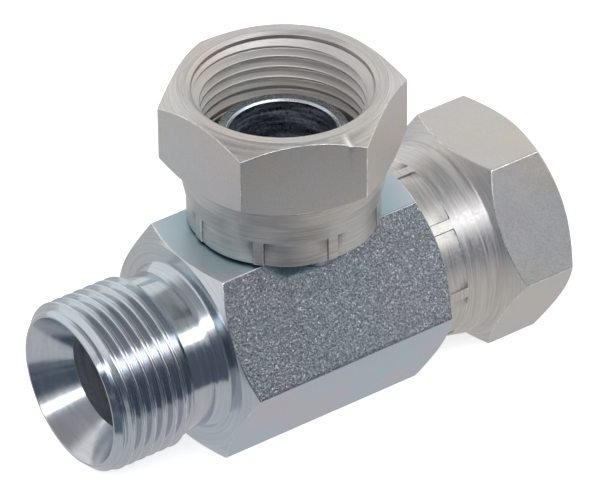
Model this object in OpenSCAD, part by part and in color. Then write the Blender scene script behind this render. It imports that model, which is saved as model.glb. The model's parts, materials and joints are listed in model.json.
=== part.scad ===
// Tee fitting in hexagon bar: a male stud on one end of the run, and a swivel
// nut on the other end and on the branch. Millimetres. The origin is the centre
// of the lower wrench flat, under the crossing of the two bores. The run lies
// along X with the stud at -X, and the branch points up along Z.

/* [Body] */
// Width of the hexagon bar across its flats
body_af = 32; // [26:0.1:40]
// Length of bar from the crossing to the shoulder behind the stud
stud_side = 18.8; // [16:0.1:24]
// Angle of the chamfers on the bar's ends
body_chamfer = 30; // [15:1:40]
// Width of chamfer that the bar's ends lose at each corner
body_corner_cut = 2.6; // [1:0.1:4]
// Diameter of the three bores
bore_d = 16; // [12:0.1:19.2]
// Metal between the run's bore and the floor of the branch's socket
socket_ledge = 2.2; // [1.5:0.1:2.8]
// Metal between the two sockets
port_wall = 2; // [1:0.1:4]

/* [Thread] */
// Major diameter of all three threads
thread_d = 26.441; // [22:0.001:32]
// Pitch of all three threads
thread_pitch = 1.814; // [1.4:0.001:2.2]

/* [Male stud] */
// Length of the stud from the shoulder to its end face
stud_len = 19.5; // [15:0.1:26]
// Length of the plain neck between the shoulder and the thread
neck_len = 5.7; // [3:0.1:7]
// Radial depth of the neck under the root of the thread
neck_relief = 0.05; // [0:0.01:0.5]
// Length of the cone that joins the neck to the shoulder
root_len = 1.7; // [0.5:0.1:2.5]
// Length of the lead-in chamfer at the end of the stud
lead_len = 1.5; // [1:0.1:1.8]
// Width of the rim between the lead-in chamfer and the sealing cone
rim_w = 0.3; // [0.1:0.05:0.6]
// Radial step from the crests down to the foot of the root's cone
root_step = 0.12; // [0:0.01:0.5]
// Full angle of the sealing cone in the stud and on the noses
seal_angle = 60; // [50:1:90]

/* [Stem] */
// Diameter of a stem where it passes through the nut's skirt
stem_d = 21.9; // [18:0.1:22.6]
// Radial gap that the brazing filler runs into
braze_gap = 0.05; // [0.02:0.01:0.1]
// Width and height of a ring of brazing filler
braze_ring = 1; // [0.4:0.1:1.2]
// Radial reach of the shoulder past the crests of the nut's thread
shoulder_grip = 0.84; // [0.5:0.01:1]
// Length of the shoulder's round part
shoulder_len = 3.15; // [2:0.05:4]
// Length of the nose from the shoulder to its tip
nose_len = 5.1; // [4:0.1:6.5]
// Radial gap between the nose and the crests of the nut's thread
nose_play = 0.45; // [0.3:0.05:0.8]
// Width of the flat ring at the tip of the nose
nose_land = 1.35; // [0.4:0.05:1.5]
// Depth of the small chamfer at the mouth of a stem's bore
nose_break = 0.3; // [0.1:0.05:0.4]

/* [Nut] */
// Metal outside the thread at the middle of each flat
nut_wall = 2.78; // [2:0.01:4]
// Overall length of a nut
nut_len = 22.6; // [18:0.1:28]
// Length of the round collar behind the hexagon
collar_len = 9.8; // [9:0.1:11]
// Metal outside the shoulder's chamber in the collar
collar_wall = 1.9; // [1.2:0.05:2.4]
// Amount that crimping takes off the collar's radius
crimp_in = 0.7; // [0.2:0.05:0.9]
// Length of the crimped band at the rear of the skirt
crimp_len = 4.1; // [3:0.1:5]
// Length of the taper from the crimped band to the collar
crimp_taper = 3.4; // [2:0.1:4]
// Length of the crimped lip inside the skirt
lip_len = 3.6; // [2.5:0.1:4]
// Angle of the chamfers on the nut's hexagon
nut_chamfer = 34; // [20:1:40]
// Amount that the front chamfer takes off a corner's radius
nut_corner_cut = 2.98; // [1.5:0.01:4]
// Radial depth of the countersink at the nut's mouth
sink = 1.94; // [1.2:0.01:2.2]
// Length of the land between the shoulder's chamber and the thread
land_len = 1.2; // [0.8:0.1:2]
// Turn of the branch nut's corners from X
branch_nut_turn = 35.8; // [0:0.1:59.9]
// Turn of the run nut's corners from Y
run_nut_turn = 0; // [0:0.1:59.9]

/* [Clearances] */
// Gap between a nut's rear rim and the body
rim_gap = 0.3; // [0.2:0.05:1]
// Radial gap between the crimped lip and the stem
lip_play = 0.5; // [0.3:0.05:0.6]
// Radial gap between the shoulder and its chamber in the nut
shoulder_play = 0.3; // [0.2:0.05:0.5]
// Gap between the shoulder's front face and the nut
front_play = 0.3; // [0.2:0.05:0.5]
// Gap between the shoulder's rear cone and the crimped lip
rear_play = 1; // [0.4:0.1:1.5]
// Amount that the nut's crests beside the nose are cut short, so that it passes them
short_crest = 0.24; // [0.16:0.01:0.4]

/* [Hidden] */
$fn = 96;
over = 1;

// Thread form: 55 degrees between flanks, with equal flats at crest and root
depth_per_pitch = 0.640327;
half_angle = 27.5;
thread_depth = depth_per_pitch * thread_pitch;
flank = thread_depth * tan(half_angle);
flat_w = thread_pitch / 2 - flank;
major_r = thread_d / 2;
minor_r = major_r - thread_depth;

// Body
axis_z = body_af / 2;
body_corner_r = body_af / 2 / cos(30);
socket_r = stem_d / 2 + braze_gap;
socket_depth = body_af / 2 - bore_d / 2 - socket_ledge;
run_side = socket_r + port_wall + socket_depth;

// Stud
neck_r = minor_r - neck_relief;
root_r = major_r - root_step;
rim_r = major_r - lead_len;
mouth_r = rim_r - rim_w;
seal_depth = (mouth_r - bore_d / 2) / tan(seal_angle / 2);
stud_crests = 1 + floor((stud_len - neck_len - lead_len - flank) / thread_pitch);

// Stem, along its axis from the face of the body
stem_r = stem_d / 2;
shoulder_r = minor_r + shoulder_grip;
lip_r = stem_r + lip_play;
cone_at = rim_gap + lip_len - lip_play + rear_play;
shoulder_at = cone_at + shoulder_r - stem_r;
shoulder_top = shoulder_at + shoulder_len;
nose_r = minor_r - nose_play;
tip_r = bore_d / 2 + nose_break + nose_land;
tip_at = shoulder_top + nose_len;
nose_cone = (nose_r - tip_r) / tan(seal_angle / 2);

// Nut, along its axis from its rear rim
nut_af = thread_d + 2 * nut_wall;
nut_corner_r = nut_af / 2 / cos(30);
nut_face_r = nut_corner_r - nut_corner_cut;
chamber_r = shoulder_r + shoulder_play;
collar_r = chamber_r + collar_wall;
skirt_r = collar_r - crimp_in;
chamber_top = shoulder_top + front_play - rim_gap;
crest_front = nut_len - sink - flat_w / 2;
nut_grooves = floor((crest_front - chamber_top - land_len) / thread_pitch);
tip_in_nut = tip_at - rim_gap;

// Outline points of one groove, cut from crest radius a and b to the root
function groove(z, a, b) = [
  [a, z - thread_pitch / 2 + flat_w / 2],
  [major_r, z - flat_w / 2],
  [major_r, z + flat_w / 2],
  [b, z + thread_pitch / 2 - flat_w / 2]];

// Radius of the nut's crest at z
function nut_crest(z) = z - flat_w / 2 > tip_in_nut + rim_gap ? minor_r : minor_r + short_crest;

// Outline points of one crest of the stud
function crest(z) = [
  [minor_r, z - flat_w / 2 - flank],
  [major_r, z - flat_w / 2],
  [major_r, z + flat_w / 2],
  [minor_r, z + flat_w / 2 + flank]];

module on_branch() translate([0, 0, axis_z + body_af / 2]) children();

module on_run() translate([run_side, 0, axis_z]) rotate([0, 90, 0]) children();

// Hexagon prism along Z, chamfered at both ends, with its corners on X
module hexagon(corner_r, len, angle, rear_r, front_r) intersection() {
  cylinder(r = corner_r, h = len, $fn = 6);
  rotate_extrude() polygon([
    [0, 0],
    [rear_r, 0],
    [corner_r + over, (corner_r + over - rear_r) * tan(angle)],
    [corner_r + over, len - (corner_r + over - front_r) * tan(angle)],
    [front_r, len],
    [0, len]]);
}

// Stud along Z from the shoulder to its end face
module stud() {
  top = stud_len - lead_len - flat_w / 2;
  rotate_extrude() polygon(concat(
    [[0, -over], [root_r, -over], [root_r, 0], [neck_r, root_len]],
    [[neck_r, top - (stud_crests - 1) * thread_pitch - flat_w / 2 - flank - neck_relief]],
    [for (k = [stud_crests - 1:-1:1]) each crest(top - k * thread_pitch)],
    [[minor_r, top - flat_w / 2 - flank], [major_r, top - flat_w / 2]],
    [[major_r, stud_len - lead_len], [rim_r, stud_len], [0, stud_len]]));
}

// Socket and bore for a stem, along Z down from the face of the body
module port() {
  translate([0, 0, -socket_depth]) cylinder(r = socket_r, h = socket_depth + over);
  translate([0, 0, -socket_depth - over]) cylinder(d = bore_d, h = 2 * over);
}

module tee_body() color("lightslategray") difference() {
  union() {
    translate([-stud_side, 0, axis_z]) rotate([0, 90, 0]) rotate([0, 0, 30])
      hexagon(body_corner_r, stud_side + run_side, body_chamfer,
        body_corner_r - body_corner_cut, body_corner_r - body_corner_cut);
    translate([-stud_side, 0, axis_z]) rotate([0, -90, 0]) stud();
  }
  translate([-stud_side - stud_len - over, 0, axis_z]) rotate([0, 90, 0])
    cylinder(d = bore_d, h = stud_side + stud_len + run_side + 2 * over);
  translate([-stud_side - stud_len, 0, axis_z]) rotate([0, 90, 0]) rotate_extrude()
    polygon([[0, -over], [mouth_r + over * tan(seal_angle / 2), -over], [mouth_r, 0],
      [bore_d / 2, seal_depth], [0, seal_depth]]);
  translate([0, 0, axis_z]) cylinder(d = bore_d, h = body_af);
  on_branch() port();
  on_run() port();
}

// Nipple with its nose along Z, measured from the face of the body
module stem() rotate_extrude() polygon([
  [bore_d / 2, -socket_depth],
  [socket_r - braze_ring - braze_gap, -socket_depth],
  [socket_r - braze_ring - braze_gap, braze_ring - socket_depth],
  [stem_r, braze_ring - socket_depth],
  [stem_r, cone_at],
  [shoulder_r, shoulder_at],
  [shoulder_r, shoulder_top],
  [nose_r, shoulder_top],
  [nose_r, tip_at - nose_cone],
  [tip_r, tip_at],
  [bore_d / 2 + nose_break, tip_at],
  [bore_d / 2, tip_at - nose_break]]);

// Ring of filler that fills the step at the stem's foot
module filler() translate([0, 0, -socket_depth]) difference() {
  cylinder(r = socket_r - braze_gap, h = braze_ring);
  translate([0, 0, -over]) cylinder(r = socket_r - braze_ring, h = braze_ring + 2 * over);
}

// Everything inside a nut, along Z from its rear rim
module nut_inside() rotate_extrude() polygon(concat(
  [[0, -over], [lip_r, -over], [lip_r, lip_len], [chamber_r, lip_len + chamber_r - lip_r]],
  [[chamber_r, chamber_top], [minor_r + short_crest, chamber_top]],
  [for (k = [nut_grooves - 1:-1:0])
    let (z = crest_front - (k + 0.5) * thread_pitch)
    each groove(z, nut_crest(z - thread_pitch / 2), nut_crest(z + thread_pitch / 2))],
  [[minor_r, nut_len - sink], [minor_r + sink + over, nut_len + over], [0, nut_len + over]]));

// Swivel nut along Z from its rear rim
module nut() difference() {
  union() {
    rotate_extrude() polygon([
      [0, 0],
      [skirt_r, 0],
      [skirt_r, crimp_len],
      [collar_r, crimp_len + crimp_taper],
      [collar_r, collar_len + over],
      [0, collar_len + over]]);
    translate([0, 0, collar_len])
      hexagon(nut_corner_r, nut_len - collar_len, nut_chamfer, collar_r, nut_face_r);
  }
  nut_inside();
}

module branch_stem() color("silver") on_branch() stem();

module run_stem() color("silver") on_run() stem();

module branch_braze_ring() color("goldenrod") on_branch() filler();

module run_braze_ring() color("goldenrod") on_run() filler();

module branch_nut() color("gainsboro") on_branch()
  translate([0, 0, rim_gap]) rotate([0, 0, branch_nut_turn]) nut();

module run_nut() color("gainsboro") on_run()
  translate([0, 0, rim_gap]) rotate([0, 0, 30 + run_nut_turn]) nut();

tee_body();
branch_stem();
run_stem();
branch_braze_ring();
run_braze_ring();
branch_nut();
run_nut();
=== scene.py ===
import json
import math

import bmesh
import bpy
from bpy.props import FloatProperty, FloatVectorProperty, IntProperty, PointerProperty
from mathutils import Matrix, Vector


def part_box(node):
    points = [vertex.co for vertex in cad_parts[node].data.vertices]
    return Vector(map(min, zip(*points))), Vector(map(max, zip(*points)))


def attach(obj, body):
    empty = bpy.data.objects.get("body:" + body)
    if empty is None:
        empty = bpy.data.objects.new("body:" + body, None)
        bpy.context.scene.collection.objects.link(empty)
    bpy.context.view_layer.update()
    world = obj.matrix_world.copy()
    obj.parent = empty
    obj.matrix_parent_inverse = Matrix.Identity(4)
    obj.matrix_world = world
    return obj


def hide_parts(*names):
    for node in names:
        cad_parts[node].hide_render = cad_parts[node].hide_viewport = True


bl_info = {
    "name": "Swivel Tee Fitting",
    "version": (1, 0, 0),
    "blender": (4, 5, 0),
    "location": "3D View > Sidebar > Tee",
    "description": "Zinc plated stud tee with two crimped swivel nuts, built on its packed frame",
    "category": "Object",
}

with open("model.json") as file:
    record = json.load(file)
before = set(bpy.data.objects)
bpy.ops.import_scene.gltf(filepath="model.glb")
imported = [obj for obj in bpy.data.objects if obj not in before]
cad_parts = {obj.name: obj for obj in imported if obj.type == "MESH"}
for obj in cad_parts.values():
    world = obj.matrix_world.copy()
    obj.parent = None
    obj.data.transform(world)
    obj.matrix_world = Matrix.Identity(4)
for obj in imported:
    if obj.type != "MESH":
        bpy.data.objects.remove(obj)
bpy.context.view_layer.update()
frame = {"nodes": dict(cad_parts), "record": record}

MM = 0.001
BODY_LOW, BODY_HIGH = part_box("tee_body")
STEM_LOW, STEM_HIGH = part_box("branch_stem")
NUT_LOW, NUT_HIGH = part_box("branch_nut")
RUN_NUT_LOW, RUN_NUT_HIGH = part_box("run_nut")
STUD_MOUNT = next(m for m in frame["record"]["mounts"] if m["name"] == "male_stud")
THREAD_R = STUD_MOUNT["dims"]["r_mm"] * MM
BODY_AF = BODY_HIGH.z - BODY_LOW.z
AXIS_Z = BODY_AF / 2
NUT_LEN = NUT_HIGH.z - NUT_LOW.z
NUT_AF = RUN_NUT_HIGH.z - RUN_NUT_LOW.z

SECTOR = 60  # Degrees from one corner of a hexagon to the next
BODY_CHAMFER = math.radians(30)
NUT_CHAMFER = math.radians(34)
SEAL_ANGLE = math.radians(30)  # Between a sealing cone and its axis
TO_RUN = Matrix.Rotation(math.radians(90), 4, "Y")  # Lays a piece made about Z along the run
TO_STUD = Matrix.Rotation(math.radians(-90), 4, "Y")  # The same, with its top at the stud's end

# A rounded pipe thread: depth and rounding as shares of its pitch, and its flank's lean in degrees
THREAD_DEPTH = 0.640327
THREAD_ROUNDING = 0.137329
THREAD_FLANK = 27.5

RIDGE = 0.78 * MM  # Half the width of the ridge between two crimp dies
SKIRT_SKIN = 0.8 * MM  # What lies less deep than this in the skirt is its outside
DENT_ANGLE = math.radians(-127.25)  # From the branch nut's corner on X
DENT_OUT = 1.084  # Distance of the dent from the axis, in halves of the nut's width
DENT_DROP = 1.25 * MM
DENT_SIZE = 0.8 * MM
DENT_STEP = 0.8  # Degrees between the columns of vertices there

MERGE = 0.002 * MM
SHARP_ANGLE = math.radians(31)
WORN_ANGLE = math.radians(7)
GUARD = 0.06 * MM  # Strip of plain wall that is kept beside a rounding
TIP = 0.04 * MM  # Depth of a thread's crest that handling polishes
HAIR = 0.02 * MM  # Allowance when a face is told by its distance from an axis
SKIN = 0.05 * MM  # Allowance for the flats of a hexagon

MOST = (0.35, 0.65)  # Most of a noise lies between these
DARK = (0.09, 0.11, 0.145)  # The room behind the camera
CAMERA_SIDE = Vector((-0.643, -0.766))
ROOM_SIDE = Vector((-0.3, -0.95))


class TeeSizes(bpy.types.PropertyGroup):
    """Sizes of the fitting that its frame doesn't give"""

    stud_side: FloatProperty(
        name="Stud side", description="From the crossing to the shoulder behind the stud",
        default=18.8 * MM, unit="LENGTH")
    bore: FloatProperty(
        name="Bore", description="Radius of the three bores", default=8 * MM, unit="LENGTH")
    socket: FloatProperty(
        name="Socket", description="Radius of the sockets for the stems", default=11 * MM, unit="LENGTH")
    socket_depth: FloatProperty(
        name="Socket depth", description="Depth of a socket", default=5.8 * MM, unit="LENGTH")
    body_cut: FloatProperty(
        name="Body chamfer", description="Amount the bar's chamfer takes off a corner's radius",
        default=2.6 * MM, unit="LENGTH")
    pitch: FloatProperty(
        name="Pitch", description="Pitch of all three threads", default=1.814 * MM, unit="LENGTH")
    neck_len: FloatProperty(
        name="Neck", description="Length of the plain neck behind the stud's thread",
        default=5.7 * MM, unit="LENGTH")
    root_len: FloatProperty(
        name="Root cone", description="Length of the cone between the neck and the shoulder",
        default=1.7 * MM, unit="LENGTH")
    lead: FloatProperty(
        name="Lead-in", description="Length of the chamfer at the stud's end",
        default=1.5 * MM, unit="LENGTH")
    rim: FloatProperty(
        name="Rim", description="Width of the rim round the sealing cone", default=0.3 * MM,
        unit="LENGTH")
    collar_len: FloatProperty(
        name="Collar", description="Length of a nut's round collar", default=9.8 * MM, unit="LENGTH")
    collar: FloatProperty(
        name="Collar radius", description="Radius of a nut's collar", default=15.1 * MM, unit="LENGTH")
    skirt: FloatProperty(
        name="Skirt radius", description="Radius of a nut's crimped skirt", default=14.4 * MM,
        unit="LENGTH")
    crimp_len: FloatProperty(
        name="Crimp", description="Length of the crimped band", default=4.1 * MM, unit="LENGTH")
    taper: FloatProperty(
        name="Taper", description="Length of the taper above the crimped band", default=3.4 * MM,
        unit="LENGTH")
    nut_cut: FloatProperty(
        name="Nut chamfer", description="Amount the nut's front chamfer takes off a corner's radius",
        default=2.98 * MM, unit="LENGTH")
    sink: FloatProperty(
        name="Countersink", description="Depth of the countersink at a nut's mouth", default=1.94 * MM,
        unit="LENGTH")
    edge: FloatProperty(
        name="Edge", description="Radius that tumbling leaves on the hexagons' edges", default=0.22 * MM,
        unit="LENGTH")
    corner: FloatProperty(
        name="Corner", description="Radius of the hexagons' corners", default=0.3 * MM, unit="LENGTH")
    branch_turn: FloatProperty(
        name="Branch nut turn", description="Turn of the branch nut's corners from X",
        default=math.radians(35.8), subtype="ANGLE")
    branch_ridge: FloatProperty(
        name="Branch crimp turn", description="Turn of the branch nut's crimp ridges from a corner",
        default=math.radians(3.95), subtype="ANGLE")
    run_ridge: FloatProperty(
        name="Run crimp turn", description="Turn of the run nut's crimp ridges from a corner",
        default=math.radians(15), subtype="ANGLE")
    dies: IntProperty(
        name="Crimp dies", description="Number of dies that closed the skirt", default=8)


class TeeColours(bpy.types.PropertyGroup):
    """Colours of the fitting's finishes"""

    body: FloatVectorProperty(
        name="Body", description="Blue zinc on the bar and stud", default=(0.60, 0.635, 0.675),
        subtype="COLOR")
    pitted: FloatVectorProperty(
        name="Pitted face", description="The bar's coarse face", default=(0.46, 0.50, 0.55),
        subtype="COLOR")
    nut: FloatVectorProperty(
        name="Nuts", description="Pale zinc on the nuts", default=(0.70, 0.68, 0.67),
        subtype="COLOR")
    bored: FloatVectorProperty(
        name="Bores", description="Dull zinc inside the bores", default=(0.42, 0.45, 0.50),
        subtype="COLOR")
    stem: FloatVectorProperty(
        name="Stems", description="Zinc on the stems", default=(0.60, 0.66, 0.69), subtype="COLOR")
    stem_bore: FloatVectorProperty(
        name="Stem bores", description="Dark plating in the stems' reamed bores",
        default=(0.42, 0.46, 0.53), subtype="COLOR")
    filler: FloatVectorProperty(
        name="Filler", description="Brazing filler", default=(0.62, 0.44, 0.20), subtype="COLOR")
    floor: FloatVectorProperty(
        name="Floor", description="Studio floor", default=(0.93, 0.93, 0.93), subtype="COLOR")


class TeeView(bpy.types.PropertyGroup):
    """Where the camera stands"""

    aim: FloatVectorProperty(
        name="Aim", description="Point at the middle of the picture",
        default=(4.48 * MM, 2.37 * MM, 22.31 * MM), subtype="TRANSLATION", precision=5)
    heading: FloatProperty(
        name="Heading", description="Direction of view, from Y towards X",
        default=math.radians(35.054), subtype="ANGLE")
    fall: FloatProperty(
        name="Fall", description="How far the view looks down", default=math.radians(35.566),
        subtype="ANGLE")
    roll: FloatProperty(
        name="Roll", description="Lean of the camera", default=math.radians(-0.504), subtype="ANGLE")
    distance: FloatProperty(
        name="Distance", description="From the camera to the aim", default=827.5 * MM, unit="LENGTH")
    lens: FloatProperty(
        name="Lens", description="Focal length in millimetres", default=334.3)


# Outlines and turned shapes

def polar(co):
    """Distance from Z and angle round it."""
    return math.hypot(co.x, co.y), math.atan2(co.y, co.x)


def set_polar(vert, radius, angle, height):
    """Moves a vertex to a distance from Z, an angle round it and a height."""
    vert.co = (radius * math.cos(angle), radius * math.sin(angle), height)


def outline(corners, steps=4):
    """Points of an outline in the XZ plane. A corner is (radius, height, rounding).

    A rounded corner is an arc with a short straight strip at each end, which keeps shading even.
    """
    places = [Vector((r, 0, z)) for r, z, _ in corners]
    points = []
    for k, (place, rounding) in enumerate(zip(places, [corner[2] for corner in corners])):
        if not rounding or k in (0, len(places) - 1):
            points.append(place)
            continue
        back = (places[k - 1] - place).normalized()
        ahead = (places[k + 1] - place).normalized()
        half = back.angle(ahead) / 2
        centre = place + (back + ahead).normalized() * rounding / math.sin(half)
        reach = rounding / math.tan(half)
        guard = reach + GUARD
        start = (place + back * reach - centre).normalized()
        end = (place + ahead * reach - centre).normalized()
        arc = [centre + start.slerp(end, i / steps) * rounding for i in range(steps + 1)]
        points += [place + back * guard, *arc, place + ahead * guard]
    return points


def columns(step, specials=()):
    """Angles in degrees round a full turn: even steps, with the specials in place of the nearest."""
    marks = sorted({round(a % 360, 4) for a in specials})
    even = [k * step for k in range(round(360 / step))]
    clear = [a for a in even if all(abs((a - m + 180) % 360 - 180) > step / 2.2 for m in marks)]
    angles = sorted(marks + clear)
    while len(angles) % 4:
        width, start = max((b - a, a) for a, b in zip(angles, angles[1:]))
        angles = sorted(angles + [start + width / 2])
    return angles


def spin_outline(bm, points, angles, pitch=0.0):
    """Turns an outline full circle about Z, climbing a pitch, with its columns at the angles."""
    count = len(angles)
    turned = bmesh.new()
    verts = [turned.verts.new(p) for p in points]
    edges = [turned.edges.new(pair) for pair in zip(verts, verts[1:])]
    bmesh.ops.spin(
        turned, geom=verts + edges, cent=(0, 0, 0), axis=(0, 0, 1), dvec=(0, 0, pitch / count),
        angle=math.tau / 4, steps=count // 4)
    quarter = turned.verts[:] + turned.edges[:] + turned.faces[:]
    for k in (1, 2, 3):
        copied = bmesh.ops.duplicate(turned, geom=quarter)["geom"]
        turn = Matrix.Translation((0, 0, pitch * k / 4)) @ Matrix.Rotation(math.tau * k / 4, 4, "Z")
        bmesh.ops.transform(
            turned, matrix=turn, verts=[g for g in copied if isinstance(g, bmesh.types.BMVert)])
    before = set(bm.verts)
    mesh = bpy.data.meshes.new("turned")
    turned.to_mesh(mesh)
    turned.free()
    bm.from_mesh(mesh)
    bpy.data.meshes.remove(mesh)
    made = [v for v in bm.verts if v not in before]
    for vert in made:
        radius, angle = polar(vert.co)
        column = round(angle / math.tau * count) % count
        shift = angles[column] - 360 * column / count
        set_polar(vert, radius, math.radians(angles[column]), vert.co.z + pitch * shift / 360)
    return made


def minor_radius(pitch):
    """Radius of the stud thread's grooves and of the nut threads' crests."""
    return THREAD_R - THREAD_DEPTH * pitch


def thread_points(pitch, low, high, steps=5):
    """Outline of a rounded 55 degree thread from low to high, between its minor and major radius."""
    rounding = THREAD_ROUNDING * pitch
    minor = minor_radius(pitch)
    bend = math.radians(90 - THREAD_FLANK)
    points = []
    for k in range(math.floor(low / pitch), math.ceil(high / pitch) + 1):
        for middle, base, side in ((k, THREAD_R - rounding, 1), (k + 0.5, minor + rounding, -1)):
            for i in range(steps + 1):
                lean = bend * (2 * i / steps - 1)
                radius = base + side * rounding * math.cos(lean)
                points.append(Vector((radius, 0, middle * pitch + rounding * math.sin(lean))))
    return [p for p in points if low - pitch < p.z < high + pitch]


def cut_thread(bm, angles, pitch, low, high, limit):
    """A helical thread between two heights. limit(radius, height) keeps it in its blank."""
    for vert in spin_outline(bm, thread_points(pitch, low - pitch, high), angles, pitch):
        radius, angle = polar(vert.co)
        height = min(max(vert.co.z, low), high)
        set_polar(vert, limit(radius, height), angle, height)


def corner_radius(af):
    """Distance from a hexagon's middle to its corners, before they are rounded."""
    return af / 2 / math.cos(math.radians(SECTOR / 2))


def hexagon_radius(af, angle, rounding):
    """Radius of a hexagon with rounded corners, of which one is at angle zero."""
    off = math.radians(abs((math.degrees(angle) + SECTOR / 2) % SECTOR - SECTOR / 2))
    flat = math.radians(SECTOR / 2)
    middle = (af / 2 - rounding) / math.cos(flat)
    if (af / 2) * math.tan(flat - off) < middle * math.sin(flat):
        return af / 2 / math.cos(flat - off)
    return middle * math.cos(off) + math.sqrt(rounding**2 - (middle * math.sin(off))**2)


def mill_hexagon(verts, af, rounding, edges, reach, first=0.0):
    """Mills a turned blank to a hexagon. A chamfer in edges is (height, way, slope, floor radius)."""
    corner = corner_radius(af)
    for vert in verts:
        radius, angle = polar(vert.co)
        if radius < corner - reach:
            continue
        side = hexagon_radius(af, angle - first, rounding)
        height = vert.co.z
        for at, way, slope, inner in edges:
            if abs(vert.co.z - at) < reach:
                share = min(1.0, (side - inner) / (2 * reach))
                height = at + way * (corner - side) * slope + (vert.co.z - at) * share
                radius = corner + (radius - corner) * share
        set_polar(vert, side + radius - corner, angle, height)


def corner_columns(first, rounding, af):
    """Angles that a rounded corner needs, for all six corners."""
    span = math.degrees(rounding / af)
    return [first + SECTOR * k + span * f for k in range(6) for f in (-1.6, -1, -0.5, 0, 0.5, 1, 1.6)]


# Pieces

def closed(bm):
    """Joins a closed mesh where its parts meet and turns its faces outwards."""
    bmesh.ops.remove_doubles(bm, verts=bm.verts, dist=MERGE)
    bmesh.ops.dissolve_degenerate(bm, edges=bm.edges, dist=MERGE / 10)
    bmesh.ops.recalc_face_normals(bm, faces=bm.faces)


def mark_wear(bm, spared=None):
    """Marks outer edges, which tumbling and handling polish, except where spared(radius, height)."""
    wear = bm.verts.layers.float.new("wear")
    for edge in bm.edges:
        if edge.calc_face_angle(0) > WORN_ANGLE and edge.is_convex:
            for vert in edge.verts:
                if not (spared and spared(polar(vert.co)[0], vert.co.z)):
                    vert[wear] = 1


def make_piece(bm, name, place, materials, pick, body, nodes):
    """Places a mesh, gives it its materials by pick(face), parents it to its body and hides the CAD
    parts it stands for.
    """
    closed(bm)
    if "wear" not in bm.verts.layers.float:
        mark_wear(bm)
    for face in bm.faces:
        face.material_index = pick(face)
        face.smooth = True
    for edge in bm.edges:
        edge.smooth = edge.calc_face_angle(0) < SHARP_ANGLE
    bmesh.ops.transform(bm, matrix=place, verts=bm.verts)
    mesh = bpy.data.meshes.new(name)
    bm.to_mesh(mesh)
    bm.free()
    for material in materials:
        mesh.materials.append(material)
    piece = bpy.data.objects.new(name, mesh)
    bpy.context.scene.collection.objects.link(piece)
    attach(piece, body)
    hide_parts(*nodes)


def body_blank(sizes, angles):
    """The bar and stud about Z, with the stud up and the crossing at zero."""
    bm = bmesh.new()
    corner = corner_radius(BODY_AF)
    face = corner - sizes.body_cut
    slope = math.tan(BODY_CHAMFER)
    top, bottom, stud = sizes.stud_side, -BODY_HIGH.x, -BODY_LOW.x
    edge_top, edge_bottom = top - sizes.body_cut * slope, bottom + sizes.body_cut * slope
    neck = minor_radius(sizes.pitch) - 0.05 * MM
    rim = THREAD_R - sizes.lead
    mouth = rim - sizes.rim
    seal = (mouth - sizes.bore) / math.tan(SEAL_ANGLE)
    start, fine = top + sizes.neck_len, sizes.edge
    points = outline([
        (rim, stud, 0),
        (mouth, stud, 0.08 * MM),
        (sizes.bore, stud - seal, 0.1 * MM),
        (sizes.bore, bottom + sizes.socket_depth, 0),
        (sizes.socket, bottom + sizes.socket_depth, 0),
        (sizes.socket, bottom, 0.1 * MM),
        (face, bottom, 0.1 * MM),
        (corner, edge_bottom, fine),
        (corner, 0, 0),
        (corner, edge_top, fine),
        (face, top, 0.1 * MM),
        (THREAD_R - 0.12 * MM, top, 0.5 * MM),
        (neck, top + sizes.root_len, 1.2 * MM),
        (neck, start, 0),
    ])
    verts = spin_outline(bm, points, angles)
    chamfers = [(edge_top, 1, slope, face), (edge_bottom, -1, slope, face)]
    mill_hexagon(verts, BODY_AF, sizes.corner, chamfers, 2 * fine, math.radians(SECTOR / 2))

    def limit(radius, height):
        lead = rim + (stud - height)
        runout = neck + (height - start)
        return min(radius, lead, runout)

    cut_thread(bm, angles, sizes.pitch, start, stud, limit)
    closed(bm)
    mark_wear(bm, lambda radius, height: start < height and mouth < radius < THREAD_R - TIP)
    return bm


def cut_with(bm, cutter):
    """Takes one closed mesh out of another and gives the result back as a bmesh."""
    objects = []
    for name, part in (("blank", bm), ("cutter", cutter)):
        closed(part)
        mesh = bpy.data.meshes.new(name)
        part.to_mesh(mesh)
        part.free()
        objects.append(bpy.data.objects.new(name, mesh))
        bpy.context.scene.collection.objects.link(objects[-1])
    blank, tool = objects
    cut = blank.modifiers.new("cut", "BOOLEAN")
    cut.operation, cut.solver, cut.object = "DIFFERENCE", "EXACT", tool
    bpy.context.view_layer.update()
    result = bmesh.new()
    result.from_object(blank, bpy.context.evaluated_depsgraph_get())
    for piece in objects:
        mesh = piece.data
        bpy.data.objects.remove(piece)
        bpy.data.meshes.remove(mesh)
    return result


def branch_cutter(sizes, depth):
    """The branch's bore and socket, along X from the crossing, in the blank's place."""
    bm = bmesh.new()
    bore = sizes.bore - HAIR
    floor = AXIS_Z - sizes.socket_depth
    points = outline([
        (0, 0, 0), (bore, 0, 0), (bore, floor, 0), (sizes.socket, floor, 0),
        (sizes.socket, AXIS_Z + depth, 0), (0, AXIS_Z + depth, 0)])
    spin_outline(bm, points, columns(3.75))
    bmesh.ops.transform(bm, matrix=TO_RUN, verts=bm.verts)
    return bm


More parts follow.
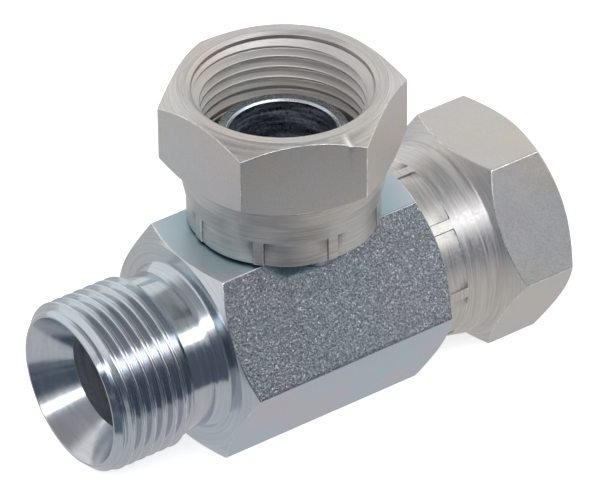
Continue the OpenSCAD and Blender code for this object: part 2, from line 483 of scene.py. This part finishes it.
def stem_outline(sizes):
    """Half section of a stem about Z, from the face that it stands on."""
    tip = STEM_HIGH.z - BODY_AF
    radius = (STEM_HIGH.x - STEM_LOW.x) / 2
    neck = sizes.socket - 0.05 * MM
    nose = minor_radius(sizes.pitch) - 0.45 * MM
    land = sizes.bore + 1.65 * MM
    top = tip - 5.1 * MM
    back = top - 3.15 * MM
    cone = (nose - land) / math.tan(SEAL_ANGLE)
    foot = -sizes.socket_depth
    return outline([
        (sizes.bore, foot, 0),
        (neck - 1 * MM, foot, 0),
        (neck - 1 * MM, foot + 1 * MM, 0),
        (neck, foot + 1 * MM, 0),
        (neck, -1.2 * MM, 0),
        (neck, 0.4 * MM, 0),
        (neck, back - (radius - neck), 0.2 * MM),
        (radius, back, 0.1 * MM),
        (radius, top, 0.15 * MM),
        (nose, top, 0.1 * MM),
        (nose, tip - cone, 0.4 * MM),
        (land, tip, 0.25 * MM),
        (sizes.bore + 0.3 * MM, tip, 0.12 * MM),
        (sizes.bore, tip - 0.3 * MM, 0.12 * MM),
        (sizes.bore, foot, 0),
    ])


def make_stem(sizes, name, place, materials):
    """One stem. The part of it that stands in its socket is marked to be darkened with painted shade."""
    turned, bored = range(2)
    in_socket = -1.1 * MM
    bm = bmesh.new()
    spin_outline(bm, stem_outline(sizes), columns(2.5))
    groove = bm.verts.layers.float.new("groove")
    for vert in bm.verts:
        vert[groove] = 1 if vert.co.z < in_socket else 0

    def pick(face):
        middle = face.calc_center_median()
        return bored if math.hypot(middle.x, middle.y) < sizes.bore + HAIR else turned

    make_piece(bm, name + "_nipple", place, materials, pick, "fitting", [name])


def half_ridge(sizes):
    """Angle in degrees from a crimp ridge's middle to its foot."""
    return math.degrees(RIDGE / sizes.skirt)


def crimped(verts, sizes, ridge):
    """The crimped band's outer vertices, each with its degrees from the nearest ridge's middle."""
    pitch = 360 / sizes.dies
    for vert in verts:
        radius, angle = polar(vert.co)
        if vert.co.z <= sizes.crimp_len and radius >= sizes.skirt - SKIRT_SKIN:
            yield vert, abs((math.degrees(angle - ridge) + pitch / 2) % pitch - pitch / 2)


def crimp_skirt(verts, sizes, ridge):
    """Presses the flats of the closing dies into the skirt, which leaves a ridge between each two."""
    die = 11.6 * MM
    bite = 0.03 * MM
    middle = sizes.skirt - bite - die
    for vert, from_ridge in crimped(verts, sizes, ridge):
        if from_ridge < half_ridge(sizes):
            continue
        radius, angle = polar(vert.co)
        off = math.radians(360 / sizes.dies / 2 - from_ridge)
        floor = middle * math.cos(off) + math.sqrt(die**2 - (middle * math.sin(off))**2)
        set_polar(vert, radius - (sizes.skirt - floor), angle, vert.co.z)


def mark_grooves(bm, sizes, ridge):
    """Marks the foot of each crimp ridge and the pad's edge beside it, to be darkened there with painted
    shade.
    """
    groove = bm.verts.layers.float.new("groove")
    foot, fade = 0.6, 10  # Degrees
    for vert, from_ridge in crimped(bm.verts, sizes, ridge):
        off = from_ridge - half_ridge(sizes)
        if 0 < off < foot:
            vert[groove] = 1
        elif 0 < off and vert.co.z > sizes.crimp_len - 2 * GUARD:
            vert[groove] = max(0, 1 - off / fade)


def knock(bm, angle, height, size):
    """A small dent in an outer edge, as from a fall."""
    out = Vector((NUT_AF / 2 * DENT_OUT, 0, 0))
    place = Vector((0, 0, height)) + Matrix.Rotation(angle, 3, "Z") @ out
    for vert in bm.verts:
        near = 1 - (vert.co - place).length / size
        if near > 0:
            inward = Vector((-vert.co.x, -vert.co.y, -vert.co.length * 1.6)).normalized()
            vert.co += inward * near * size * 0.4


def nut_blank(sizes, ridge, dent=None):
    """A swivel nut about Z from its rear rim, with a corner on X.

    Its thread runs from land to first, and the crests below full_from are short.
    """
    bm = bmesh.new()
    corner = corner_radius(NUT_AF)
    minor = minor_radius(sizes.pitch)
    face = corner - sizes.nut_cut
    slope = math.tan(NUT_CHAMFER)
    front = NUT_LEN - sizes.nut_cut * slope
    rear = sizes.collar_len + (corner - sizes.collar) * slope
    short = minor + 0.24 * MM
    chamber = THREAD_R - 0.02 * MM
    lip = sizes.socket + 0.45 * MM
    step, land, full_from = 9.5 * MM, 11.3 * MM, 14.7 * MM
    mouth = minor + sizes.sink
    relief = THREAD_R + 0.1 * MM
    first = NUT_LEN - 1.1 * MM
    lip_len = 3.6 * MM
    crease = 0.05 * MM
    points = outline([
        (short, land, 0),
        (short, step, 0.1 * MM),
        (chamber, step, 0),
        (chamber, lip_len + chamber - lip, 0),
        (lip, lip_len, 0.2 * MM),
        (lip, 0, 0.2 * MM),
        (sizes.skirt, 0, 0.3 * MM),
        (sizes.skirt, sizes.crimp_len - crease - GUARD, 0),
        (sizes.skirt, sizes.crimp_len - crease, 0),
        (sizes.skirt, sizes.crimp_len + crease, 0),
        (sizes.skirt, sizes.crimp_len + crease + GUARD, 0),
        (sizes.collar, sizes.crimp_len + sizes.taper, 1.2 * MM),
        (sizes.collar, sizes.collar_len, 0.5 * MM),
        (corner, rear, sizes.edge),
        (corner, (front + rear) / 2, 0),
        (corner, front - 0.9 * MM, 0),
        (corner, front, sizes.edge),
        (face + 0.45 * MM, NUT_LEN - 0.45 * MM * slope, 0),
        (face, NUT_LEN, 0.15 * MM),
        (mouth + GUARD, NUT_LEN, 0),
        (mouth, NUT_LEN, 0.05 * MM),
        (relief + 0.1 * MM, NUT_LEN - 0.5 * MM, 0.05 * MM),
        (relief, first, 0),
    ])
    beside_foot = (-0.7, -0.15, 0.35, 0.9)  # Degrees from a ridge's foot
    marks = [math.degrees(ridge) + 360 / sizes.dies * k + side * (half_ridge(sizes) + off)
             for k in range(sizes.dies) for side in (-1, 1) for off in beside_foot]
    if dent is not None:
        marks += [math.degrees(dent) + DENT_STEP * k for k in range(-3, 4)]
    angles = columns(3, corner_columns(0, sizes.corner, NUT_AF) + marks)
    verts = spin_outline(bm, points, angles)
    chamfers = [(front, 1, slope, face), (rear, -1, slope, sizes.collar)]
    mill_hexagon(verts, NUT_AF, sizes.corner, chamfers, 2 * sizes.edge)
    crimp_skirt(verts, sizes, ridge)

    def limit(radius, height):
        sunk = relief - (first - height)
        faded = short + (height - land)
        crest = short if height < full_from else minor
        return max(sunk, crest, min(radius, faded))

    cut_thread(bm, angles, sizes.pitch, land, first, limit)
    closed(bm)
    if dent is not None:
        knock(bm, dent, NUT_LEN - DENT_DROP, DENT_SIZE)
    mark_wear(bm, lambda radius, height: radius < THREAD_R and height > land)
    mark_grooves(bm, sizes, ridge)
    return bm


# Materials

class Nodes:
    """A material's node tree, with one call for each node."""

    def __init__(self, owner, shader="Principled BSDF"):
        self.owner = owner
        owner.use_nodes = True
        self.tree = owner.node_tree
        self.shader = self.tree.nodes[shader]

    def add(self, kind, inputs=(), **settings):
        node = self.tree.nodes.new("ShaderNode" + kind)
        for key, value in settings.items():
            setattr(node, key, value)
        for key, value in dict(inputs).items():
            self.feed(node.inputs[key], value)
        return node

    def feed(self, socket, value):
        if isinstance(value, bpy.types.NodeSocket):
            self.tree.links.new(value, socket)
        else:
            socket.default_value = value

    def set(self, name, value):
        """Sets one of the shader's inputs, or links it."""
        self.feed(self.shader.inputs[name], value)

    def math(self, operation, *values):
        return self.add("Math", enumerate(values), operation=operation).outputs[0]

    def place(self, scale=(1, 1, 1), origin=(0, 0, 0)):
        """A point's place in the object, from an origin and scaled."""
        coordinates = self.add("TexCoord").outputs["Object"]
        shift = tuple(-o * s for o, s in zip(origin, scale))
        return self.add("Mapping", {"Vector": coordinates, "Scale": scale, "Location": shift}).outputs[0]

    def noise(self, vector, scale, detail=3, roughness=0.5):
        inputs = {"Vector": vector, "Scale": scale, "Detail": detail, "Roughness": roughness}
        return self.add("TexNoise", inputs).outputs["Fac"]

    def spread(self, value, low, high, to_low, to_high):
        """Maps one range to another. What lies past the range stays at its end."""
        inputs = {"Value": value, "From Min": low, "From Max": high, "To Min": to_low, "To Max": to_high}
        return self.add("MapRange", inputs).outputs[0]

    def blend(self, share, first, second, mode="MIX"):
        """Mixes two colours by the second one's share."""
        node = self.add("Mix", data_type="RGBA", blend_type=mode)
        for socket, value in zip([s for s in node.inputs if s.enabled], (share, first, second)):
            self.feed(socket, value)
        return node.outputs["Result"]

    def split(self, vector):
        """A vector's X, Y and Z."""
        return self.add("SeparateXYZ", {"Vector": vector}).outputs

    def mean(self, first, second, share):
        """Two numbers added up, with a share for the second and the rest for the first."""
        rest = self.math("MULTIPLY", first, 1 - share)
        return self.math("ADD", rest, self.math("MULTIPLY", second, share))

    def ragged(self, value, scale, amount):
        """A number with a noise of an amount added to it."""
        wander = self.math("MULTIPLY", self.noise(self.place(), scale), amount)
        return self.math("ADD", value, wander)

    def shaded(self, colour, shade):
        """A colour made darker by a number."""
        grey = self.add("CombineXYZ", {"X": shade, "Y": shade, "Z": shade}).outputs[0]
        return self.blend(1.0, colour, grey, "MULTIPLY")

    def weighed(self, split, x, y):
        """A split vector's X times x and its Y times y, added up."""
        parts = self.math("MULTIPLY", split["X"], x), self.math("MULTIPLY", split["Y"], y)
        return self.math("ADD", *parts)

    def bump(self, height, strength, distance, normal=None):
        inputs = {"Height": height, "Strength": strength, "Distance": distance}
        if normal:
            inputs["Normal"] = normal
        return self.add("Bump", inputs).outputs[0]


def axis_rings(nodes, along, centre, reach=0.6 * MM):
    """Coordinates for tool marks: they change fast along and across an axis and slowly round it."""
    split = nodes.split(nodes.place(origin=centre))
    across = [split[k] for k in range(3) if k != along]
    squares = [nodes.math("MULTIPLY", a, a) for a in across]
    radius = nodes.math("MAXIMUM", nodes.math("SQRT", nodes.math("ADD", *squares)), 0.1 * MM)
    height = nodes.math("ADD", split[along], nodes.math("MULTIPLY", radius, 2.3))
    round_about = [nodes.math("MULTIPLY", nodes.math("DIVIDE", a, radius), reach) for a in across]
    return nodes.add("CombineXYZ", enumerate([height, *round_about])).outputs[0]


def toned(colour, red, green, blue):
    """A colour with its channels multiplied, and an alpha of one."""
    return colour[0] * red, colour[1] * green, colour[2] * blue, 1


def tinted(nodes, colour, amount, yellow=0.0):
    """Zinc's slow drift of tint over a base colour, pink and blue, and straw where yellow is given."""
    cool = toned(colour, 0.93, 1.01, 1.03)
    warm = toned(colour, 1.07, 0.96, 1)
    straw = toned(colour, 1.05, 1, 0.88)
    drift = nodes.noise(nodes.place(), 60, 2)
    other = nodes.noise(nodes.place(origin=(0.4, 0.2, 0.1)), 90, 2)
    mixed = nodes.blend(nodes.spread(drift, 0.4, 0.65, 0, amount), (*colour, 1), warm)
    if yellow:
        stain = nodes.noise(nodes.place(origin=(0.2, 0.5, 0.3)), 75, 3)
        mixed = nodes.blend(nodes.spread(stain, 0.42, 0.62, 0, yellow), mixed, straw)
    return nodes.blend(nodes.spread(other, 0.42, 0.62, 0, amount), mixed, cool)


def above_axis(nodes, low, high, to_low, to_high):
    """A ramp with the distance above or below the run's axis, where the bar has two of its corners."""
    height = nodes.split(nodes.place(origin=(0, 0, AXIS_Z)))["Z"]
    ragged = nodes.ragged(nodes.math("ABSOLUTE", height), 1200, 0.5 * MM)
    return nodes.spread(ragged, low, high, to_low, to_high)


def near_branch(nodes, near, far):
    """A ramp that falls from 1 to 0 between two distances from the branch's axis."""
    split = nodes.split(nodes.place())
    return nodes.spread(nodes.weighed(split, split["X"], split["Y"]), near**2, far**2, 1, 0)


def shade_below_nut(nodes):
    """Where painted shadow of the branch nut lies on the coarse face just below it; the face's pits are
    smoothed there too.
    """
    split = nodes.split(nodes.place())
    stud_half = nodes.spread(split["X"], 1 * MM, 5 * MM, 1, 0)
    near = nodes.math("MULTIPLY", near_branch(nodes, 12.6 * MM, 14.6 * MM), stud_half)
    high = nodes.spread(nodes.ragged(split["Z"], 1500, 1.6 * MM), 29.3 * MM, 30.5 * MM, 0, 1)
    return nodes.math("MULTIPLY", near, high)


def dull_corners(nodes):
    """Where the bar's two corners beside its axis are hardly worn, next to the coarse face."""
    return above_axis(nodes, 0.4 * MM, 0.9 * MM, 0.1, 1)


def worn_edges(nodes, colour, rough, amount=1.0, spared=None):
    """Feeds colour and roughness to the shader, polished bright where the mesh says an edge is worn."""
    wear = nodes.add("Attribute", attribute_name="wear").outputs["Fac"]
    dashes = nodes.spread(nodes.noise(nodes.place(), 800, 4, 0.7), 0.42, 0.62, 0.1 * amount, amount)
    share = nodes.math("MULTIPLY", nodes.spread(wear, 0.45, 0.9, 0, 1), dashes)
    if spared:
        share = nodes.math("MULTIPLY", share, spared)
    nodes.set("Base Color", nodes.blend(share, colour, (0.92, 0.92, 0.92, 1)))
    nodes.set("Roughness", nodes.spread(share, 0, 1, rough, 0.2))
    nodes.set("Metallic", 1)


def turned_metal(name, colour, along, centre, rough=(0.07, 0.15), mark=0.25, lean=0.5, depth=0.14,
                 worn=1.0, drift=0.6, ring=(1400, 5200), yellow=0.0):
    """Metal as it leaves the lathe, plated. Its tool marks run round an axis through the centre.

    rough is the range of its roughness, mark and depth are the relief and the shade of the marks,
    ring is how fine they are, lean is how far they stretch a highlight, worn is how bright edges
    are, and drift and yellow are the strengths of its tints.
    """
    nodes = Nodes(bpy.data.materials.new(name))
    rings = axis_rings(nodes, along, centre)
    coarse = nodes.noise(rings, ring[0], 4, 0.6)
    fine = nodes.noise(rings, ring[1], 2, 0.5)
    grain = nodes.noise(nodes.place(), 2500, 3)
    marks = nodes.mean(coarse, fine, 0.3)
    shade = nodes.spread(marks, *MOST, 1 - depth, 1.0 + depth / 3)
    # This mark darkens the colour in patches: painted shade at the feet of the crimp ridges and at the
    # stems' feet in their sockets.
    groove = nodes.add("Attribute", attribute_name="groove").outputs["Fac"]
    patchy = nodes.spread(nodes.noise(nodes.place(), 330, 2), 0.4, 0.6, 0.3, 1)
    crease_shade = nodes.math("MULTIPLY", nodes.spread(groove, 0.2, 1, 0, 0.75), patchy)
    shade = nodes.math("MULTIPLY", shade, nodes.math("SUBTRACT", 1, crease_shade))
    ringed = nodes.shaded(tinted(nodes, colour, drift, yellow), shade)
    mixed = nodes.mean(coarse, grain, 0.4)
    worn_edges(nodes, ringed, nodes.spread(mixed, *MOST, *rough), worn)
    nodes.set("Anisotropic", lean)
    nodes.set("Tangent", nodes.add("Tangent", direction_type="RADIAL", axis="XYZ"[along]).outputs[0])
    height = nodes.bump(marks, mark, 0.02 * MM)
    nodes.set("Normal", nodes.bump(grain, 0.12, 0.01 * MM, height))
    return nodes.owner


def bored_metal(name, colour, along, centre):
    """Drilled and tapped insides, dull and ringed by the tool."""
    nodes = Nodes(bpy.data.materials.new(name))
    rings = axis_rings(nodes, along, centre)
    coarse = nodes.noise(rings, 1100, 4, 0.65)
    grain = nodes.noise(nodes.place(), 3000, 3, 0.6)
    mixed = nodes.mean(coarse, grain, 0.4)
    low = toned(colour, 0.6, 0.6, 0.6)
    shade = nodes.blend(nodes.spread(mixed, 0.38, 0.62, 0, 1), low, (*colour, 1))
    worn_edges(nodes, shade, nodes.spread(mixed, *MOST, 0.42, 0.6), 0.5)
    nodes.set("Metallic", 0.65)
    height = nodes.bump(coarse, 0.8, 0.06 * MM)
    nodes.set("Normal", nodes.bump(grain, 0.3, 0.03 * MM, height))
    return nodes.owner


def drawn_metal(name, colour, rough=(0.3, 0.42), streak=(1, 1, 1), drift=0.5, yellow=0.0, bar=False):
    """Plated flats: a fine even grain with faint streaks, and on the bar's top flat, round the branch, a
    darker teal that is painted shade and reflection of the branch nut.
    """
    nodes = Nodes(bpy.data.materials.new(name))
    grain = nodes.noise(nodes.place(), 4600, 3, 0.6)
    streaks = nodes.noise(nodes.place(scale=streak), 900, 3)
    clouds = nodes.noise(nodes.place(), 220, 3)
    shade = nodes.spread(grain, *MOST, 0.9, 1.04)
    base = nodes.shaded(tinted(nodes, colour, drift, yellow), shade)
    mixed = nodes.mean(grain, clouds, 0.15)
    spared = None
    if bar:
        spared = dull_corners(nodes)
        height = nodes.split(nodes.place())["Z"]
        on_top = nodes.spread(height, BODY_AF - 0.6 * MM, BODY_AF - 0.3 * MM, 0, 1)
        # Darker teal on the top flat round the branch: painted shade and reflection of the branch nut.
        top_nut_shade = nodes.math("MULTIPLY", near_branch(nodes, 14.6 * MM, 20 * MM), on_top)
        base = nodes.blend(top_nut_shade, base, toned(colour, 0.62, 0.78, 0.8))
    worn_edges(nodes, base, nodes.spread(mixed, *MOST, *rough), 1.0, spared)
    height = nodes.bump(grain, 0.4, 0.02 * MM)
    nodes.set("Normal", nodes.bump(streaks, 0.2, 0.02 * MM, height))
    return nodes.owner


def pitted_metal(name, colour):
    """The bar's coarse face: close pits, darkened at their bottoms with painted shade, and pale specks
    between them that are painted glints.
    """
    nodes = Nodes(bpy.data.materials.new(name))
    pits = nodes.add("TexVoronoi", {"Vector": nodes.place(), "Scale": 3000}, feature="F1")
    cells = pits.outputs["Distance"]
    lumps = nodes.noise(nodes.place(), 2500, 4, 0.7)
    height = nodes.math("ADD", nodes.math("MULTIPLY", cells, 0.55), lumps)
    pale = tuple(min(1, c * 2.2) for c in colour)
    face_nut_shade = shade_below_nut(nodes)
    pits_outside_nut_shade = nodes.math("SUBTRACT", 1, face_nut_shade)
    # Where the surface is low, in the pits, it takes this darker colour: painted shade.
    low = toned(colour, 0.45, 0.45, 0.45)
    shade = nodes.blend(nodes.spread(height, 0.6, 1.05, 0, 1), low, (*colour, 1))
    # Pale specks on the grains between the pits: painted glints.
    glint_specks = nodes.noise(nodes.place(origin=(0.1, 0.3, 0.2)), 3000, 3, 0.7)
    shade = nodes.blend(nodes.spread(glint_specks, 0.56, 0.66, 0, 1), shade, (*pale, 1))
    # A dark teal there: painted shadow of the branch nut.
    shade = nodes.blend(face_nut_shade, shade, toned(colour, 0.4, 0.52, 0.52))
    # Darker along the corner beside the run's axis, where this face meets the flat below it: painted
    # shade, multiplied into the tint drift.
    edge = above_axis(nodes, 0.2 * MM, 0.85 * MM, 0.4, 1)
    drift = nodes.shaded(tinted(nodes, (1, 1, 1), 0.7), edge)
    worn_edges(nodes, nodes.blend(1.0, shade, drift, "MULTIPLY"), nodes.spread(lumps, *MOST, 0.22, 0.42),
               1.0, dull_corners(nodes))
    nodes.set("Normal", nodes.bump(height, pits_outside_nut_shade, 0.3 * MM))
    return nodes.owner


def cast_filler(name, colour):
    """Brazing filler as it set, a little lumpy."""
    nodes = Nodes(bpy.data.materials.new(name))
    lumps = nodes.noise(nodes.place(), 1200, 3)
    nodes.set("Base Color", nodes.blend(lumps, (*colour, 1), toned(colour, 0.7, 0.7, 0.7)))
    nodes.set("Metallic", 1)
    nodes.set("Roughness", nodes.spread(lumps, 0.3, 0.7, 0.3, 0.5))
    nodes.set("Normal", nodes.bump(lumps, 0.4, 0.05 * MM))
    return nodes.owner


# Operators

class TEE_OT_body(bpy.types.Operator):
    """Make the hexagon bar with its stud, bores and sockets"""

    bl_idname = "tee.body"
    bl_label = "Body"

    def execute(self, context):
        sizes, colours = context.scene.tee_sizes, context.scene.tee_colours
        angles = columns(3, corner_columns(SECTOR / 2, sizes.corner, BODY_AF))
        bm = cut_with(body_blank(sizes, angles), branch_cutter(sizes, 2 * MM))
        axis = (0, 0, AXIS_Z)
        materials = [
            turned_metal("stud_turned", colours.body, 0, axis, rough=(0.11, 0.2), lean=0.35, worn=0.6,
                         yellow=0.4),
            drawn_metal("bar_flats", colours.body, streak=(0.05, 1, 1), drift=1.2, bar=True),
            pitted_metal("bar_pitted", colours.pitted),
            bored_metal("bar_bored", colours.bored, 0, axis),
        ]
        turned, flat, pitted, bored = range(4)
        pitted_way = Vector((math.cos(math.radians(SECTOR)), -math.sin(math.radians(SECTOR)), 0))

        def pick(face):
            middle = face.calc_center_median()
            radius = math.hypot(middle.x, middle.y)
            from_branch = math.hypot(middle.y, middle.z)
            in_branch = middle.x > 0 and from_branch < sizes.socket + HAIR / 2
            if radius < sizes.bore + HAIR or (in_branch and radius < BODY_AF / 2 - 2 * SKIN):
                return bored
            outside = radius > BODY_AF / 2 - SKIN
            if abs(face.normal.z) > 0.05 or not outside or middle.z > sizes.stud_side:
                return turned
            return pitted if face.normal.dot(pitted_way) > 0.98 else flat

        place = Matrix.Translation(axis) @ TO_STUD
        make_piece(bm, "hexagon_bar", place, materials, pick, "fitting", ["tee_body"])
        return {"FINISHED"}


class TEE_OT_stems(bpy.types.Operator):
    """Make the two stems that carry the nuts"""

    bl_idname = "tee.stems"
    bl_label = "Stems"

    def execute(self, context):
        sizes, colours = context.scene.tee_sizes, context.scene.tee_colours
        up = Matrix.Translation((0, 0, BODY_AF))
        along = Matrix.Translation((BODY_HIGH.x, 0, AXIS_Z)) @ TO_RUN
        for name, place, way, centre in (
                ("branch_stem", up, 2, (0, 0, 0)), ("run_stem", along, 0, (0, 0, AXIS_Z))):
            materials = [turned_metal(name + "_turned", colours.stem, way, centre, rough=(0.2, 0.34)),
                         turned_metal(name + "_bored", colours.stem_bore, way, centre, rough=(0.15, 0.8),
                                      mark=4.0, lean=0.0, depth=0.3, ring=(1500, 4800))]
            make_stem(sizes, name, place, materials)
        return {"FINISHED"}


class TEE_OT_filler(bpy.types.Operator):
    """Give the rings of brazing filler their finish"""

    bl_idname = "tee.filler"
    bl_label = "Filler"

    def execute(self, context):
        metal = cast_filler("filler_metal", context.scene.tee_colours.filler)
        for name in ("branch_braze_ring", "run_braze_ring"):
            for slot in frame["nodes"][name].material_slots:
                slot.material = metal
        return {"FINISHED"}


class TEE_OT_nuts(bpy.types.Operator):
    """Make the two swivel nuts"""

    bl_idname = "tee.nuts"
    bl_label = "Nuts"

    def execute(self, context):
        sizes = context.scene.tee_sizes
        up = Matrix.Translation((0, 0, NUT_LOW.z)) @ Matrix.Rotation(sizes.branch_turn, 4, "Z")
        flat_down = Matrix.Rotation(math.radians(SECTOR / 2), 4, "Z")
        along = Matrix.Translation((RUN_NUT_LOW.x, 0, AXIS_Z)) @ TO_RUN @ flat_down
        self.make(context, "branch_nut", up, 2, (0, 0, 0), sizes.branch_ridge, DENT_ANGLE)
        self.make(context, "run_nut", along, 0, (0, 0, AXIS_Z), sizes.run_ridge, None)
        return {"FINISHED"}

    def make(self, context, name, place, along, centre, ridge, dent):
        """One nut, about an axis through the centre, with its ridges and its dent from a corner"""
        sizes, colour = context.scene.tee_sizes, context.scene.tee_colours.nut
        turned, flat, tapped = range(3)
        materials = [
            turned_metal(name + "_turned", colour, along, centre, rough=(0.3, 0.5), mark=0.8, lean=0.1,
                         depth=0.26, worn=0.7, drift=0.4, ring=(3000, 7500), yellow=0.7),
            drawn_metal(name + "_flats", colour, rough=(0.36, 0.5), drift=0.45, yellow=0.8),
            turned_metal(name + "_tapped", colour, along, centre, rough=(0.42, 0.6), mark=0.9, lean=0.2,
                         worn=0.4, drift=0.5, ring=(2600, 6500), yellow=0.5),
        ]

        def pick(face):
            middle = face.calc_center_median()
            radius = math.hypot(middle.x, middle.y)
            if radius < THREAD_R + HAIR and middle.z > 1 * MM:
                return tapped
            return flat if abs(face.normal.z) < 0.3 and radius > NUT_AF / 2 - SKIN else turned

        bm = nut_blank(sizes, ridge, dent)
        make_piece(bm, name + "_hexagon", place, materials, pick, name, [name])


class TEE_OT_stage(bpy.types.Operator):
    """Set the floor, the lamps, the world and the camera"""

    bl_idname = "tee.stage"
    bl_label = "Stage"

    def execute(self, context):
        scene, colours, view = context.scene, context.scene.tee_colours, context.scene.tee_view
        scene.view_settings.view_transform = "Standard"
        self.floor(colours)
        self.world(scene)
        # The strip hangs in front of the fitting and above it. The cards lie and stand by the stud; they
        # glow and only reflections see them, so they are painted reflections.
        reach, rise, watts = 0.42, 0.068, 2.7
        hung = Vector((-0.5, rise - reach, reach + rise + AXIS_Z))
        self.lamp("front_strip", hung, (0, 1, -1), (-0.875, rise, rise), (2.0, 0.17), watts)
        upright = Matrix.Rotation(math.radians(90), 4, "X")
        near_ground, far_ground, shade = (0.60, 0.60, 0.61), (0.29, 0.29, 0.30), (0.13, 0.15, 0.19)
        self.card("ground_card", Matrix.Translation((0, 0, 0.02 * MM)), (2.6, 2.6),
                  near_ground, far_ground)
        self.card("shade_card", Matrix.Translation((-68 * MM, -34 * MM, 0.04 * MM)),
                  (30 * MM, 26 * MM), shade, shade)
        self.card("stud_card", Matrix.Translation((-14 * MM, -28 * MM, 15 * MM)) @ upright,
                  (38 * MM, 14 * MM), DARK, DARK)
        self.camera(scene, view)
        return {"FINISHED"}

    def sheet(self, name, stand, size, material):
        """A flat sheet of a width and depth"""
        bm = bmesh.new()
        bmesh.ops.create_grid(bm, x_segments=1, y_segments=1, size=0.5)
        bmesh.ops.transform(bm, matrix=stand @ Matrix.Diagonal((*size, 1, 1)), verts=bm.verts)
        mesh = bpy.data.meshes.new(name)
        bm.to_mesh(mesh)
        bm.free()
        mesh.materials.append(material)
        sheet = bpy.data.objects.new(name, mesh)
        bpy.context.scene.collection.objects.link(sheet)
        return sheet

    def floor(self, colours):
        """Pale paper that the camera and reflections see white"""
        nodes = Nodes(bpy.data.materials.new("floor_paper"))
        grain = nodes.noise(nodes.place(), 800, 3)
        colour = (*colours.floor, 1)
        shade = nodes.blend(nodes.spread(grain, 0.3, 0.7, 0, 0.02), colour, (0.8, 0.8, 0.8, 1))
        nodes.set("Base Color", shade)
        nodes.set("Roughness", 0.9)
        nodes.set("Specular IOR Level", 0)
        ray = nodes.add("LightPath").outputs
        seen = nodes.math("ADD", nodes.math("ADD", ray["Is Camera Ray"], ray["Is Glossy Ray"]),
                          ray["Is Transmission Ray"])
        nodes.set("Emission Color", (1, 1, 1, 1))
        nodes.set("Emission Strength", nodes.math("MULTIPLY", seen, 0.6))
        floor = self.sheet("floor", Matrix.Identity(4), (6, 6), nodes.owner)

    def world(self, scene):
        """A pale room, dark behind the camera from just above the floor to where the strip hangs"""
        scene.world = bpy.data.worlds.new("studio")
        nodes = Nodes(scene.world, "Background")
        split = nodes.split(nodes.add("TexCoord").outputs["Generated"])
        side = nodes.weighed(split, *ROOM_SIDE)
        walls, ceiling = (0.95, 0.95, 0.95, 1), (0.37, 0.37, 0.38, 1)
        below_strip = nodes.spread(split["Z"], 0.4, 0.62, 1, 0)
        behind = nodes.math("MULTIPLY", below_strip, nodes.spread(side, 0.2, 0.45, 0, 1))
        pale = nodes.blend(nodes.spread(split["Z"], 0.64, 0.8, 0, 1), walls, ceiling)
        nodes.set("Color", nodes.blend(behind, pale, (*DARK, 1)))
        nodes.set("Strength", 1.0)

    def lamp(self, name, place, way, along, size, power):
        """A flat lamp that shines one way, with its long side along another"""
        data = bpy.data.lights.new(name, "AREA")
        data.shape, data.size, data.size_y, data.energy = "RECTANGLE", *size, power
        lamp = bpy.data.objects.new(name, data)
        back, along = -Vector(way).normalized(), Vector(along).normalized()
        turn = Matrix((along, back.cross(along), back)).transposed().to_4x4()
        lamp.matrix_world = Matrix.Translation(place) @ turn
        bpy.context.scene.collection.objects.link(lamp)

    def card(self, name, stand, size, near, far):
        """A glowing card that only reflections see, a painted reflection: near and far colours, and dark
        beyond them
        """
        nodes = Nodes(bpy.data.materials.new(name))
        side = nodes.weighed(nodes.split(nodes.place()), *CAMERA_SIDE)
        shade = nodes.blend(nodes.spread(side, 66 * MM, 82 * MM, 0, 1), (*near, 1), (*far, 1))
        shade = nodes.blend(nodes.spread(side, 84 * MM, 100 * MM, 0, 1), shade, (*DARK, 1))
        nodes.set("Base Color", (0, 0, 0, 1))
        nodes.set("Roughness", 1)
        nodes.set("Specular IOR Level", 0)
        nodes.set("Emission Color", shade)
        nodes.set("Emission Strength", 1)
        card = self.sheet(name, stand, size, nodes.owner)
        card.visible_camera = card.visible_diffuse = card.visible_shadow = False

    def camera(self, scene, view):
        """The camera, at the photograph's viewing angle"""
        data = bpy.data.cameras.new("camera")
        data.lens, data.sensor_width = view.lens, 36
        data.clip_start, data.clip_end = 0.05, 20
        level = math.cos(view.fall)
        way = Vector((
            math.sin(view.heading) * level, math.cos(view.heading) * level, -math.sin(view.fall)))
        turn = way.to_track_quat("-Z", "Y").to_matrix().to_4x4()
        camera = bpy.data.objects.new("camera", data)
        camera.matrix_world = Matrix.Translation(
            Vector(view.aim) - way * view.distance) @ turn @ Matrix.Rotation(view.roll, 4, "Z")
        scene.collection.objects.link(camera)
        scene.camera = camera


class TEE_PT_panel(bpy.types.Panel):
    """Buttons and sizes of the tee"""

    bl_label = "Swivel Tee"
    bl_idname = "TEE_PT_panel"
    bl_space_type = "VIEW_3D"
    bl_region_type = "UI"
    bl_category = "Tee"

    def draw(self, context):
        for operator in OPERATORS:
            self.layout.operator(operator.bl_idname)
        for group in (context.scene.tee_sizes, context.scene.tee_colours, context.scene.tee_view):
            box = self.layout.box()
            for key in group.__annotations__:
                box.prop(group, key)


GROUPS = {"tee_sizes": TeeSizes, "tee_colours": TeeColours, "tee_view": TeeView}
OPERATORS = (TEE_OT_stage, TEE_OT_body, TEE_OT_stems, TEE_OT_filler, TEE_OT_nuts)


def register():
    for cls in (*GROUPS.values(), *OPERATORS, TEE_PT_panel):
        bpy.utils.register_class(cls)
    for name, group in GROUPS.items():
        setattr(bpy.types.Scene, name, PointerProperty(type=group))


def unregister():
    for name in GROUPS:
        delattr(bpy.types.Scene, name)
    for cls in (TEE_PT_panel, *reversed(OPERATORS), *reversed(GROUPS.values())):
        bpy.utils.unregister_class(cls)


def main():
    register()
    bpy.ops.tee.stage()
    bpy.ops.tee.body()
    bpy.ops.tee.stems()
    bpy.ops.tee.filler()
    bpy.ops.tee.nuts()


if __name__ == "__main__":
    main()
